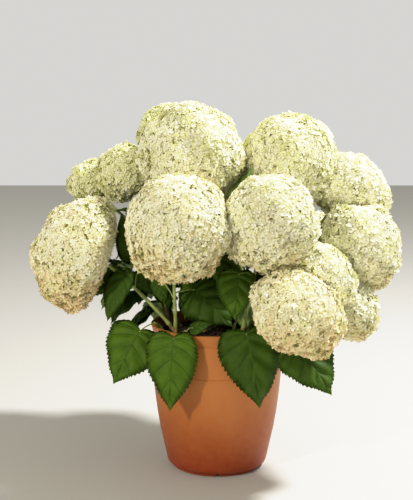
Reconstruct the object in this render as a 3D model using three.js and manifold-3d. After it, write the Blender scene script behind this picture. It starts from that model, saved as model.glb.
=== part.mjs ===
// A mophead hydrangea with cream flower heads, standing in a terracotta-coloured plastic pot.
// Millimetres, +Z up. The origin is the middle of the pot's flat underside, and the front faces -Y.
import * as THREE from 'three';
import { mergeVertices } from 'three/addons/utils/BufferGeometryUtils.js';
import Module from 'manifold-3d';

const wasm = await Module();
wasm.setup();

// Driving dimensions of the pot
const potHeight = 345;
const rimRadius = 156;
const rimThickness = 8;
const wallThickness = 4.6;
const floorThickness = 7;
const footRadius = 107;
const shoulderHeight = 319;
const grooveHeight = 243;
const potSides = 32;
const drainRing = 62;
const drainCount = 5;
const drainRadius = 6;
const channelWidth = 9;
const channelDepth = 4;

// Driving dimensions of the plant
const soilTop = 320;
const gap = 0.3;
const soilClearance = 0.5;
const soilBevel = 3;
const caneRadius = 4.4;
const caneTipRadius = 3.3;
const caneFlare = 1.35;
const caneSteps = 4;
const caneSides = 6;
const forkPull = 0.6;
const skirtRadius = 2.9;
const skirtPull = 0.7;
const stalkLength = 24;
const stalkEnd = 0.8;
const pressGap = 0.6;
const pressRange = 1.25;
const pressShares = [0.3, 0.7];
const lumpHeight = 0.045;
const bossShare = 0.4;
const bossDepth = [0.05, 0.09];

// Driving dimensions of the leaves. The pairs of numbers are the least and the most of a seeded draw,
// dips are in degrees below the level, and sizes, sags and folds are shares of the leaf's own size.
const leafLength = 122;
const leafSlimness = 0.72;
const leafThickness = 2.2;
const leafRoom = 0.8;
const leafSizes = [0.8, 1.2];
const leafSags = [0.06, 0.12];
const leafReaches = [34, 50];
const leafRises = [10, 18];
const leafTilt = 0.8;
const twistSpread = 0.5;
const turnSpread = 0.5;
const dipSpread = 24;
const topDip = 8;
const dipStep = 6;
const skirtDip = 38;
const skirtShare = 0.94;
const petioleRadius = 1.9;
const petioleSeat = 5;
const handShape = { fold: -0.12, arch: 3, bends: 2 };
const ruleShape = { fold: -0.14, arch: 5, bends: 1 };

// The blooms. at is the middle of the widest ring, half its radius, top and under the heights of the
// dome and of the underside as shares of half, lean the tilt from upright and bearing its compass
// direction from +X, both in degrees.
const blooms = {
  crown_left: { at: [-60, 10, 738], half: 121, top: 1, under: 0.88, lean: 15, bearing: 170, seed: 11 },
  crown_rear: { at: [-108, 150, 766], half: 86, top: 1, under: 0.85, lean: 25, bearing: 128, seed: 12 },
  crown_right: { at: [172, 60, 716], half: 117, top: 0.98, under: 0.9, lean: 25, bearing: 19, seed: 82 },
  front_left: { at: [-87, -200, 595], half: 117, top: 1.04, under: 1, lean: 27, bearing: -78, seed: 14 },
  front_right: { at: [113, -175, 603], half: 106, top: 1.05, under: 1, lean: 28, bearing: -60, seed: 79 },
  between: { at: [35, -50, 572], half: 58, top: 1.12, under: 1, lean: 30, bearing: -80, seed: 16 },
  left: { at: [-301, -60, 512], half: 136, top: 0.89, under: 0.37, lean: 71, bearing: 182, seed: 45 },
  upper_left: { at: [-213, 85, 688], half: 74, top: 0.95, under: 0.85, lean: 35, bearing: 160, seed: 18 },
  far_left: { at: [-305, 150, 658], half: 57, top: 1, under: 0.9, lean: 45, bearing: 155, seed: 19 },
  upper_right: { at: [314, 70, 645], half: 104, top: 0.85, under: 0.78, lean: 45, bearing: 12, seed: 90 },
  right: { at: [328, -30, 528], half: 104, top: 0.94, under: 0.8, lean: 65, bearing: -5, seed: 35 },
  right_front: { at: [231, -145, 480], half: 84, top: 0.78, under: 0.7, lean: 45, bearing: -33, seed: 22 },
  low_right: { at: [170, -230, 415], half: 109, top: 0.8, under: 0.63, lean: 42, bearing: -40, seed: 183 },
  low_far_right: { at: [303, -95, 394], half: 72, top: 0.9, under: 0.75, lean: 70, bearing: -17, seed: 24 },
  rear_top: { at: [30, 185, 655], half: 92, top: 0.95, under: 0.8, lean: 25, bearing: 80, seed: 25 },
  rear_left: { at: [-110, 290, 555], half: 106, top: 0.95, under: 0.8, lean: 45, bearing: 110, seed: 26 },
  rear_right: { at: [115, 290, 575], half: 108, top: 0.95, under: 0.8, lean: 45, bearing: 68, seed: 27 },
  rear_low_left: { at: [-335, 170, 510], half: 92, top: 0.9, under: 0.7, lean: 65, bearing: 152, seed: 28 },
  rear_low_right: { at: [265, 225, 475], half: 98, top: 0.9, under: 0.7, lean: 60, bearing: 40, seed: 29 },
};

// The shoots. Each rises from foot on the soil: straight up for rise, leaning out by the share lean of
// its way to the bloom, and it runs straight into the bloom's underside for run. leafFrom is the share
// of its length where the bare cane ends and its foliage starts. A fork carries a second bloom.
// hand lists leaves placed one by one: at is the share of the stem where the petiole starts.
const shoots = [
  {
    name: 'front_left', bloom: 'front_left', foot: [-95, -92], rise: 70, lean: 0, run: 50,
    leafFrom: 0.42, pairs: 0,
    hand: [
      { at: 0.6, base: [-54, -72, 440], tip: [34, -114, 358], width: 124, sag: 0.08, hang: [0.1, -1, 0.5] },
      { at: 0.5, base: [-135, -60, 457], tip: [-121, -72, 400], width: 42, sag: 0.08, hang: [0.1, -1, 0.2] },
    ],
  },
  {
    name: 'left', bloom: 'left', foot: [-88, -70], rise: 48, lean: 0.12, run: 17,
    leafFrom: 0.4, pairs: 2, turn: 60, seed: 32,
    hand: [
      {
        at: 0.7, base: [-212, -92, 478], tip: [-250, -120, 372], width: 66, sag: 0.08,
        hang: [-0.6, -1, 0.1],
      },
      { at: 0.66, base: [-197, -22, 500], tip: [-224, -8, 606], width: 56, sag: 0.12, hang: [-0.2, -1, 0.3] },
      { at: 0.62, base: [-186, -44, 474], tip: [-130, -36, 414], width: 62, sag: 0.1, hang: [0.1, -1, 0.5] },
    ],
  },
  {
    name: 'low_right', bloom: 'low_right', foot: [81, -75], rise: 95, lean: 0.04, run: 30,
    leafFrom: 0.24, pairs: 2, turn: 20, seed: 33,
    fork: { bloom: 'right_front', at: 0.4, rise: 19, run: 80 },
  },
  {
    name: 'front_right', bloom: 'front_right', foot: [53, -98], rise: 59, lean: 0.23, run: 43,
    leafFrom: 0.34, pairs: 3, turn: 100, seed: 34,
    fork: { bloom: 'between', at: 0.6, rise: 22, run: 19 },
    hand: [
      { at: 0.7, base: [46, -136, 488], tip: [38, -150, 382], width: 88, sag: 0.06, hang: [0.05, -1, 0.1] },
    ],
  },
  {
    name: 'crown_left', bloom: 'crown_left', foot: [-28, 4], rise: 132, lean: 0.39, run: 17,
    leafFrom: 0.26, pairs: 3, turn: 45, seed: 35,
    fork: { bloom: 'crown_rear', at: 0.43, rise: 17, run: 98 },
  },
  {
    name: 'crown_right', bloom: 'crown_right', foot: [104, 39], rise: 65, lean: 0.39, run: 39,
    leafFrom: 0.3, pairs: 3, turn: 80, seed: 36,
    hand: [{ at: 0.82, base: [34, -2, 640], tip: [82, -42, 716], width: 46, sag: 0.1 }],
  },
  {
    name: 'upper_left', bloom: 'upper_left', foot: [-108, 30], rise: 64, lean: 0.3, run: 44,
    leafFrom: 0.28, pairs: 4, turn: 10, seed: 37,
    fork: { bloom: 'far_left', at: 0.66, rise: 19, run: 91 },
  },
  {
    name: 'upper_right', bloom: 'upper_right', foot: [107, 9], rise: 140, lean: 0.42, run: 53,
    leafFrom: 0.3, pairs: 4, turn: 120, seed: 38,
  },
  {
    name: 'right', bloom: 'right', foot: [109, -25], rise: 42, lean: 0.03, run: 102,
    leafFrom: 0.3, pairs: 3, turn: 70, seed: 39,
    fork: { bloom: 'low_far_right', at: 0.62, rise: 25, run: 14 },
  },
  {
    name: 'rear_top', bloom: 'rear_top', foot: [28, 107], rise: 59, lean: 0.09, run: 19,
    leafFrom: 0.3, pairs: 3, turn: 0, seed: 40,
  },
  {
    name: 'rear_left', bloom: 'rear_left', foot: [-50, 98], rise: 77, lean: 0.17, run: 90,
    leafFrom: 0.3, pairs: 4, turn: 30, seed: 41,
  },
  {
    name: 'rear_right', bloom: 'rear_right', foot: [61, 91], rise: 140, lean: 0.42, run: 38,
    leafFrom: 0.3, pairs: 4, turn: 75, seed: 42,
  },
  {
    name: 'rear_low_left', bloom: 'rear_low_left', foot: [-86, 58], rise: 80, lean: 0.25, run: 100,
    leafFrom: 0.3, pairs: 4, turn: 50, seed: 43,
  },
  {
    name: 'rear_low_right', bloom: 'rear_low_right', foot: [83, 64], rise: 89, lean: 0.26, run: 90,
    leafFrom: 0.3, pairs: 4, turn: 95, seed: 44,
  },
];

// Short leafy shoots with no bloom, whose leaves hang over the rim. top is where the stem ends.
const skirts = [
  {
    name: 'front', foot: [-66, -116], top: [-74, -127, 352],
    hand: [
      {
        at: 0.92, base: [-99, -164, 346], tip: [-107, -182, 180], width: 112, sag: 0.07,
        hang: [-0.15, -1, 0],
      },
      { at: 0.8, base: [-60, -141, 361], tip: [-12, -158, 376], width: 34, sag: 0.06 },
    ],
  },
  {
    name: 'front_side', foot: [-124, -44], top: [-146, -72, 358],
    hand: [
      {
        at: 0.92, base: [-176, -108, 350], tip: [-236, -142, 232], width: 126, sag: 0.07,
        hang: [-0.3, -1, 0.1],
      },
    ],
  },
  {
    name: 'middle', foot: [34, -86], top: [50, -82, 374],
    hand: [{ at: 0.9, base: [62, -76, 400], tip: [70, -30, 478], width: 66, sag: 0.1 }],
  },
  {
    name: 'right_side', foot: [42, -128], top: [48, -136, 356],
    hand: [
      { at: 0.92, base: [64, -166, 358], tip: [94, -184, 188], width: 130, sag: 0.07, hang: [0.2, -1, 0] },
    ],
  },
  {
    name: 'far_right', foot: [118, -48], top: [140, -98, 360],
    hand: [
      {
        at: 0.95, base: [176, -176, 330], tip: [252, -212, 226], width: 122, sag: 0.07,
        hang: [0.4, -1, 0.3],
      },
    ],
  },
  { name: 'rear_one', foot: [122, 40], top: [144, 58, 356], out: 25, spread: 50, seed: 51 },
  { name: 'rear_two', foot: [2, 128], top: [4, 148, 356], out: 88, spread: 45, seed: 52 },
  { name: 'rear_three', foot: [-114, 60], top: [-132, 76, 358], out: 150, spread: 50, seed: 53 },
];

const colours = {
  pot: { color: 0xc0703c, roughness: 0.5, metalness: 0 },
  soil: { color: 0x2b1f17, roughness: 0.95, metalness: 0 },
  cane: { color: 0x8a9a52, roughness: 0.6, metalness: 0 },
  leaves: { color: 0x3f7a28, roughness: 0.55, metalness: 0 },
  bloom: { color: 0xeef0cf, roughness: 0.8, metalness: 0 },
};

const group = new THREE.Group();
const up = new THREE.Vector3(0, 0, 1);
const degrees = Math.PI / 180;

function vector(list) {
  return new THREE.Vector3(...list);
}

function headingAt(turn) {
  return new THREE.Vector3(Math.cos(turn), Math.sin(turn), 0);
}

// A seeded run of numbers between 0 and 1.
function randomRun(seed) {
  let state = seed;
  return () => {
    state = (state * 1664525 + 1013904223) % 4294967296;
    return state / 4294967296;
  };
}

function drawn(range, next) {
  return THREE.MathUtils.lerp(...range, next());
}

function solidOf(geometry) {
  const bare = new THREE.BufferGeometry().setAttribute('position', geometry.getAttribute('position'));
  if (geometry.index) bare.setIndex(geometry.index);
  const merged = mergeVertices(bare, 1e-4);
  return new wasm.Manifold(new wasm.Mesh({
    numProp: 3,
    vertProperties: merged.getAttribute('position').array,
    triVerts: new Uint32Array(merged.index.array),
  }));
}

function geometryOf(positions, triangles) {
  const flat = new Float32Array(positions.flatMap((p) => [p.x, p.y, p.z]));
  return new THREE.BufferGeometry()
    .setAttribute('position', new THREE.BufferAttribute(flat, 3))
    .setIndex(triangles.flat());
}

function addMesh(name, solid, look) {
  const mesh = solid.getMesh();
  const geometry = new THREE.BufferGeometry()
    .setAttribute('position', new THREE.BufferAttribute(mesh.vertProperties, 3))
    .setIndex(new THREE.BufferAttribute(mesh.triVerts, 1));
  geometry.computeVertexNormals();
  const node = new THREE.Mesh(geometry, new THREE.MeshStandardMaterial(colours[look]));
  node.name = name;
  group.add(node);
}

// A profile of [radius, height] pairs turned about the Z axis.
function turned(profile) {
  const points = profile.map(([r, z]) => new THREE.Vector2(r, z));
  return solidOf(new THREE.LatheGeometry(points, potSides).rotateX(Math.PI / 2));
}

// The outer wall as [radius, height]: foot, rounded corner, swelling wall, groove, shoulder and the
// flared band up to the rim.
const wallOutside = [
  [footRadius, 0],
  [footRadius, 7],
  [112.5, 8.5],
  [117.5, 13],
  [120, 22],
  [135.6, 94],
  [148, 180],
  [153, 237],
  [153.4, grooveHeight - 1.5],
  [152.3, grooveHeight],
  [153.6, grooveHeight + 1.5],
  [154, shoulderHeight - 1],
  [150.2, shoulderHeight + 1],
  [rimRadius, potHeight - 3],
  [rimRadius - 2, potHeight],
];
const wallInside = [
  [rimRadius - rimThickness, potHeight],
  [150.2 - wallThickness, shoulderHeight],
  [148 - wallThickness, 180],
  [135.6 - wallThickness, 94],
  [120 - wallThickness, 24],
  [108, floorThickness],
];

function makePot() {
  const body = turned([[0, 0], ...wallOutside, ...wallInside, [0, floorThickness]]);
  const cuts = [];
  for (let i = 0; i < drainCount; i++) {
    const turn = -Math.PI / 2 + (i * 2 * Math.PI) / drainCount;
    const hole = new THREE.CylinderGeometry(drainRadius, drainRadius, 4 * floorThickness, 8)
      .rotateX(Math.PI / 2)
      .translate(drainRing, 0, 0);
    const channel = new THREE.BoxGeometry(footRadius, channelWidth, 2 * channelDepth)
      .translate(drainRing + footRadius / 2, 0, 0);
    cuts.push(solidOf(hole.rotateZ(turn)), solidOf(channel.rotateZ(turn)));
  }
  return cuts.reduce((pot, cut) => pot.subtract(cut), body);
}

function makeSoil() {
  const wall = wallInside.slice(1).map(([r, z]) => [r - soilClearance, z]).reverse();
  const bottom = floorThickness + soilClearance;
  wall[0][1] = bottom;
  const brim = wall.at(-1)[0] - soilBevel;
  return turned([[0, bottom], ...wall, [brim, soilTop], [0, soilTop]]);
}

// Works out what each bloom's formula needs: its middle, axis, lump phases and the planes where it
// presses against its neighbours.
for (const bloom of Object.values(blooms)) {
  const lean = bloom.lean * degrees;
  const bearing = bloom.bearing * degrees;
  bloom.middle = vector(bloom.at);
  bloom.axis = new THREE.Vector3(
    Math.cos(bearing) * Math.sin(lean), Math.sin(bearing) * Math.sin(lean), Math.cos(lean),
  );
  const next = randomRun(bloom.seed);
  bloom.phases = [next(), next(), next(), next()].map((share) => share * 2 * Math.PI);
  bloom.planes = [];
}

// The smooth outline of a bloom: its radius in one direction from its middle.
function smoothReach(bloom, direction) {
  const along = direction.dot(bloom.axis);
  const height = along > 0 ? bloom.top : bloom.under;
  return bloom.half / Math.sqrt(1 - along * along + (along / height) ** 2);
}

// Finds the plane where two blooms that crowd each other meet.
function pressTogether(a, b) {
  const between = b.middle.clone().sub(a.middle);
  const distance = between.length();
  if (distance > pressRange * (a.half + b.half)) return;
  between.divideScalar(distance);
  const reachA = smoothReach(a, between);
  const reachB = smoothReach(b, between.clone().negate());
  const even = (distance ** 2 + reachA ** 2 - reachB ** 2) / (2 * distance);
  const [least, most] = pressShares;
  const meeting = Math.min(Math.max(even, least * distance), most * distance);
  a.planes.push({ normal: between, distance: meeting });
  b.planes.push({ normal: between.clone().negate(), distance: distance - meeting });
}

const bloomList = Object.values(blooms);
bloomList.forEach((a, i) => bloomList.slice(i + 1).forEach((b) => pressTogether(a, b)));

// The lumpy outline that no floret passes, cut flat where a neighbour presses.
function bloomReach(bloom, direction) {
  const [p, q, r, s] = bloom.phases;
  const lumps = Math.sin(6 * direction.x + p) * Math.cos(5 * direction.y + q)
    + Math.sin(7 * direction.z + r) * Math.cos(6 * direction.x + s);
  let reach = smoothReach(bloom, direction) * (1 + lumpHeight * lumps);
  for (const { normal, distance } of bloom.planes) {
    const toward = direction.dot(normal);
    if (toward > 0) reach = Math.min(reach, (distance - pressGap) / toward);
  }
  return reach;
}

// A curve that leaves foot upwards and ends inside the underside of a bloom.
function wayTo(bloom, start, firstPull, run) {
  const end = bloom.middle.clone().addScaledVector(bloom.axis, -stalkEnd * bloom.half * bloom.under);
  const lastPull = end.clone().addScaledVector(bloom.axis, -run);
  return new THREE.CubicBezierCurve3(start, firstPull(end), lastPull, end);
}

function shootCurve(shoot) {
  const start = new THREE.Vector3(...shoot.foot, soilTop + gap);
  return wayTo(blooms[shoot.bloom], start, (end) => new THREE.Vector3(
    start.x + (end.x - start.x) * shoot.lean,
    start.y + (end.y - start.y) * shoot.lean,
    start.z + shoot.rise,
  ), shoot.run);
}

function forkCurve(fork, stem) {
  const start = stem.getPointAt(fork.at);
  const ahead = stem.getTangentAt(fork.at);
  return wayTo(blooms[fork.bloom], start, (end) => {
    const toward = end.clone().sub(start).normalize();
    return start.clone().addScaledVector(ahead.clone().add(toward), forkPull * fork.rise);
  }, fork.run);
}

// The share of a stem's length where the bloom's own stalk starts.
function stalkStart(curve, bloom) {
  const sunk = (1 - stalkEnd) * bloom.half * bloom.under;
  return 1 - (sunk + stalkLength) / curve.getLength();
}

// A tapering round limb between two shares of a curve's length, with flat ends. firstWay is the way
// that its first end faces, where that isn't along the curve.
function limb(curve, from, to, radiusAt, steps, sides, firstWay) {
  const points = [];
  const triangles = [];
  let side = new THREE.Vector3(1, 0, 0.01);
  for (let i = 0; i <= steps; i++) {
    const share = i / steps;
    const centre = curve.getPointAt(from + (to - from) * share);
    const ahead = i === 0 && firstWay ? firstWay : curve.getTangentAt(from + (to - from) * share);
    side = side.clone().addScaledVector(ahead, -side.dot(ahead)).normalize();
    const across = ahead.clone().cross(side);
    for (let j = 0; j < sides; j++) {
      const turn = (j * 2 * Math.PI) / sides;
      points.push(centre.clone()
        .addScaledVector(side, radiusAt(share) * Math.cos(turn))
        .addScaledVector(across, radiusAt(share) * Math.sin(turn)));
    }
  }
  const last = steps * sides;
  for (let j = 0; j < sides; j++) {
    const next = (j + 1) % sides;
    for (let ring = 0; ring < last; ring += sides) {
      const above = ring + sides;
      triangles.push([ring + j, ring + next, above + next], [ring + j, above + next, above + j]);
    }
    if (j > 0 && j < sides - 1) {
      triangles.push([0, j + 1, j], [last, last + j, last + j + 1]);
    }
  }
  return solidOf(geometryOf(points, triangles));
}

// The head of a bloom: a ball of triangles whose corners lie on its reach where florets crowd into a
// boss, and are sunk between the bosses. Larger blooms have more triangles.
function bloomCore(bloom) {
  const detail = bloom.half > 100 ? 4 : bloom.half > 75 ? 3 : 2;
  const ball = new THREE.IcosahedronGeometry(1, detail);
  ball.deleteAttribute('normal');
  ball.deleteAttribute('uv');
  const merged = mergeVertices(ball, 1e-4);
  const position = merged.getAttribute('position');
  const next = randomRun(bloom.seed + 100);
  for (let i = 0; i < position.count; i++) {
    const direction = new THREE.Vector3().fromBufferAttribute(position, i).normalize();
    const sunk = next() < bossShare ? 0 : drawn(bossDepth, next);
    const reach = bloomReach(bloom, direction) - bloom.half * sunk;
    position.setXYZ(i, ...direction.multiplyScalar(reach).add(bloom.middle).toArray());
  }
  return solidOf(merged);
}

// A bloom with its stalk, which starts where the foliage ends.
function makeBloom(bloom, curve) {
  const stalk = limb(curve, stalkStart(curve, bloom), 1, () => caneTipRadius, caneSteps / 2, caneSides);
  return bloomCore(bloom).add(stalk);
}

// The leaf's outline: shares of its length along the rib, and of its half width, from the lobes beside
// the petiole to the last station before the tip. rib is the station's corner on the rib.
const leafEdge = [
  { along: -0.07, out: 0.42, rib: 0 },
  { along: 0.06, out: 0.86, rib: 0 },
  { along: 0.32, out: 1, rib: 1 },
  { along: 0.72, out: 0.52, rib: 2 },
];
const leafRib = [0, 0.32, 0.72, 1];

// A blade from base to tip, folded along its rib, with its middle raised towards its upper face. extra
// is added all round it.
function blade(leaf, extra) {
  const along = leaf.tip.clone().sub(leaf.base).normalize();
  const base = leaf.base.clone().addScaledVector(along, -extra);
  const length = leaf.tip.distanceTo(base) + extra;
  const face = leaf.face.clone().addScaledVector(along, -leaf.face.dot(along)).normalize();
  const side = along.clone().cross(face);
  const thick = leafThickness / 2 + extra;
  const spot = (share, out, lift) => {
    const raised = leaf.sag * length * 4 * share * (1 - share);
    const folded = (Math.abs(out) * leaf.fold * leaf.width) / 2;
    return base.clone()
      .addScaledVector(along, share * length)
      .addScaledVector(side, out * (leaf.width / 2 + 2 * extra))
      .addScaledVector(face, lift + raised + folded);
  };
  const points = [];
  const rib = leafRib.slice(0, -1).map((share) => {
    points.push(spot(share, 0, thick), spot(share, 0, -thick));
    return points.length - 2;
  });
  points.push(spot(1, 0, 0));
  const tip = points.length - 1;
  const triangles = [];
  for (const hand of [1, -1]) {
    const put = (a, b, c) => triangles.push(hand === 1 ? [a, b, c] : [a, c, b]);
    const edge = leafEdge.map((station) => {
      points.push(spot(station.along, hand * station.out, 0));
      return points.length - 1;
    });
    put(rib[0], rib[0] + 1, edge[0]);
    leafEdge.forEach((station, i) => {
      const here = rib[station.rib];
      const beyond = i + 1 < edge.length ? edge[i + 1] : tip;
      put(here, edge[i], beyond);
      put(here + 1, beyond, edge[i]);
      const nextRib = i + 1 < edge.length ? rib[leafEdge[i + 1].rib] : null;
      if (nextRib !== null && nextRib !== here) {
        put(here, beyond, nextRib);
        put(here + 1, nextRib + 1, beyond);
      }
    });
  }
  return solidOf(geometryOf(points, triangles));
}

// A petiole from the middle of the stem to a little way inside the blade.
function petiole(leaf, extra) {
  const inward = leaf.tip.clone().sub(leaf.base).setLength(petioleSeat);
  const end = leaf.base.clone().add(inward);
  const middle = leaf.root.clone().lerp(leaf.base, 0.55);
  middle.z = Math.max(leaf.root.z, leaf.base.z) + leaf.arch;
  const curve = new THREE.QuadraticBezierCurve3(leaf.root, middle, end);
  return limb(curve, 0, 1, () => petioleRadius + extra, leaf.bends, 3);
}

const placed = [];

function touches(solid, list) {
  const box = solid.boundingBox();
  return list.some((other) => {
    const room = other.boundingBox();
    const apart = [0, 1, 2].some((k) => box.min[k] > room.max[k] || box.max[k] < room.min[k]);
    return !apart && solid.intersect(other).volume() > 0;
  });
}

// Adds a leaf to a mass, and says whether it did: it is skipped where it, or the room that it needs
// round it, would touch anything else.
function tryLeaf(mass, leaf) {
  const others = placed.filter((solid) => solid !== mass.stem);
  const room = blade(leaf, leafRoom);
  if (touches(room, [...others, mass.stem, ...mass.blades])) return false;
  if (touches(petiole(leaf, leafRoom), others)) return false;
  mass.solid = mass.solid.add(blade(leaf, 0)).add(petiole(leaf, 0));
  mass.blades.push(room);
  return true;
}

function handLeaf(stem, spec) {
  const base = vector(spec.base);
  const outward = new THREE.Vector3(base.x, base.y, 0).normalize().addScaledVector(up, leafTilt);
  return {
    base,
    tip: vector(spec.tip),
    root: stem.getPointAt(spec.at),
    face: spec.hang ? vector(spec.hang) : outward,
    width: spec.width,
    sag: spec.sag,
    ...handShape,
  };
}

// The ways a leaf may grow where room is short: shares of its length, and turns of its dip in degrees.
const leafTries = [
  { size: 1, dip: 0 },
  { size: 0.9, dip: 30 },
  { size: 0.85, dip: -30 },
  { size: 0.7, dip: 50 },
  { size: 0.65, dip: 0 },
];

// A leaf by the seeded rule, leaving the stem at a share of its length in the direction heading. It
// takes the first way of growing that has room.
function growLeaf(mass, stem, share, heading, next, leastDip) {
  const root = stem.getPointAt(share);
  const length = leafLength * drawn(leafSizes, next);
  const reach = drawn(leafReaches, next);
  const dip = leastDip + dipSpread * next();
  const rise = drawn(leafRises, next);
  const twist = (next() - 0.5) * twistSpread;
  const sag = drawn(leafSags, next);
  for (const attempt of leafTries) {
    const angle = (dip + attempt.dip) * degrees;
    const along = heading.clone().multiplyScalar(Math.cos(angle)).addScaledVector(up, -Math.sin(angle));
    const base = root.clone().addScaledVector(heading, reach * attempt.size).addScaledVector(up, rise);
    const leaf = {
      base,
      tip: base.clone().addScaledVector(along, length * attempt.size),
      root,
      face: up.clone().addScaledVector(heading, leafTilt).applyAxisAngle(along, twist),
      width: length * attempt.size * leafSlimness,
      sag,
      ...ruleShape,
    };
    if (tryLeaf(mass, leaf)) return;
  }
}

// Pairs of opposite leaves along a shoot's stem, each pair turned a quarter round from the last and
// dipping less than it.
function growPairs(shoot) {
  const next = randomRun(shoot.seed);
  for (let i = 0; i < shoot.pairs; i++) {
    const share = THREE.MathUtils.lerp(shoot.leafFrom, shoot.stalk, (i + 0.5) / shoot.pairs);
    for (const half of [0, 1]) {
      const turn = (shoot.turn + 90 * i + 180 * half) * degrees + (next() - 0.5) * turnSpread;
      const leastDip = topDip + dipStep * (shoot.pairs - i);
      growLeaf(shoot.mass, shoot.curve, share, headingAt(turn), next, leastDip);
    }
  }
}

// Two leaves beside each other at the top of a short shoot, spread round the way that it faces.
function growSkirt(skirt) {
  const next = randomRun(skirt.seed);
  for (const side of [-1, 1]) {
    const turn = (skirt.out + side * skirt.spread) * degrees;
    growLeaf(skirt.mass, skirt.curve, skirtShare, headingAt(turn), next, skirtDip);
  }
}

function caneRadiusAt(share) {
  return THREE.MathUtils.lerp(caneRadius, caneTipRadius, share);
}

const pot = makePot();
const soil = makeSoil();
placed.push(pot, soil);
addMesh('pot', pot, 'pot');
addMesh('soil', soil, 'soil');

function placeBloom(name, curve) {
  const head = makeBloom(blooms[name], curve);
  placed.push(head);
  addMesh(`bloom_${name}`, head, 'bloom');
}

// Starts a mass of leaves on a stem. The leaves are added once every stem and bloom is in place.
function startMass(plant, stem) {
  plant.mass = { stem, solid: stem, blades: [] };
  placed.push(stem);
}

for (const shoot of shoots) {
  const curve = shootCurve(shoot);
  const cut = gap / curve.getLength();
  shoot.curve = curve;
  shoot.stalk = stalkStart(curve, blooms[shoot.bloom]);
  const low = (share) => caneRadiusAt(share * shoot.leafFrom) * (share === 0 ? caneFlare : 1);
  const high = (share) => caneRadiusAt(THREE.MathUtils.lerp(shoot.leafFrom, 1, share));
  const cane = limb(curve, 0, shoot.leafFrom - cut, low, caneSteps, caneSides, up);
  placed.push(cane);
  addMesh(`cane_${shoot.name}`, cane, 'cane');
  placeBloom(shoot.bloom, curve);
  let stem = limb(curve, shoot.leafFrom, shoot.stalk - cut, high, caneSteps, caneSides);
  if (shoot.fork) {
    const branch = forkCurve(shoot.fork, curve);
    const stop = stalkStart(branch, blooms[shoot.fork.bloom]) - gap / branch.getLength();
    stem = stem.add(limb(branch, 0, stop, () => caneTipRadius, caneSteps, caneSides));
    placeBloom(shoot.fork.bloom, branch);
  }
  startMass(shoot, stem);
}

for (const skirt of skirts) {
  const foot = new THREE.Vector3(...skirt.foot, soilTop + gap);
  const top = vector(skirt.top);
  const pull = foot.clone().setZ(THREE.MathUtils.lerp(foot.z, top.z, skirtPull));
  skirt.curve = new THREE.QuadraticBezierCurve3(foot, pull, top);
  startMass(skirt, limb(skirt.curve, 0, 1, () => skirtRadius, caneSteps / 2, caneSides, up));
}

for (const plant of [...skirts, ...shoots]) {
  for (const spec of plant.hand ?? []) tryLeaf(plant.mass, handLeaf(plant.curve, spec));
  if (plant.pairs) growPairs(plant);
  if (plant.spread) growSkirt(plant);
  placed[placed.indexOf(plant.mass.stem)] = plant.mass.solid;
  addMesh(`leaves_${plant.bloom ? '' : 'low_'}${plant.name}`, plant.mass.solid, 'leaves');
}

export default group;
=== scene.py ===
# A mophead hydrangea in a terracotta-coloured plastic pot: florets, leaves, canes, compost and pot.
# The plant is worked out in millimetres, +Z up, the front facing -Y, and turned to metres at the end.
import math

import bpy
import numpy as np
from mathutils import Matrix, Vector
from mathutils.kdtree import KDTree


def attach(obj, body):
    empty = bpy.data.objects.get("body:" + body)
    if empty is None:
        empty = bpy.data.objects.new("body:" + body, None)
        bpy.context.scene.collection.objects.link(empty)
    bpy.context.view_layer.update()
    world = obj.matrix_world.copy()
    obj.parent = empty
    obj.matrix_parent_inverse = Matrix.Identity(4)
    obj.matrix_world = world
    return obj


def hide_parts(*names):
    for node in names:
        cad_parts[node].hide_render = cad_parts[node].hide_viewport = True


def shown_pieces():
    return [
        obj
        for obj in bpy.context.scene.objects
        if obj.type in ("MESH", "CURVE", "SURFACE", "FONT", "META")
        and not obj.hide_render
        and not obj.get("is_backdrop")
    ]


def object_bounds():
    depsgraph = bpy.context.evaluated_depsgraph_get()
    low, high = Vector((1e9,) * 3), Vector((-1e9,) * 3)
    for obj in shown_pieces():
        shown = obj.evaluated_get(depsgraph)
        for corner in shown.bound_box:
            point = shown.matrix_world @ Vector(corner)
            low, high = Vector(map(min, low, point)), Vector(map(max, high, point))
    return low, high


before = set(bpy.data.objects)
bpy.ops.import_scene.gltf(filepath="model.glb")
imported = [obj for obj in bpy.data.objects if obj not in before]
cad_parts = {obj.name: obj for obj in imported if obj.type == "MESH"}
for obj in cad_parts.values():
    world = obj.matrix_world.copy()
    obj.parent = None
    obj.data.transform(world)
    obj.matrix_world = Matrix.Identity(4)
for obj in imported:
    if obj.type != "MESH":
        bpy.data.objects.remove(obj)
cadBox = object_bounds()
metre = 1000.0
up = np.array([0.0, 0.0, 1.0])

# The photograph's camera. focalPixels is its focal length in pixels of a frame frameHeight high.
camera = {"place": (-0.025, -2.83, 0.985), "pitchDown": 9.39, "focalPixels": 1224, "frameHeight": 500}

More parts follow.
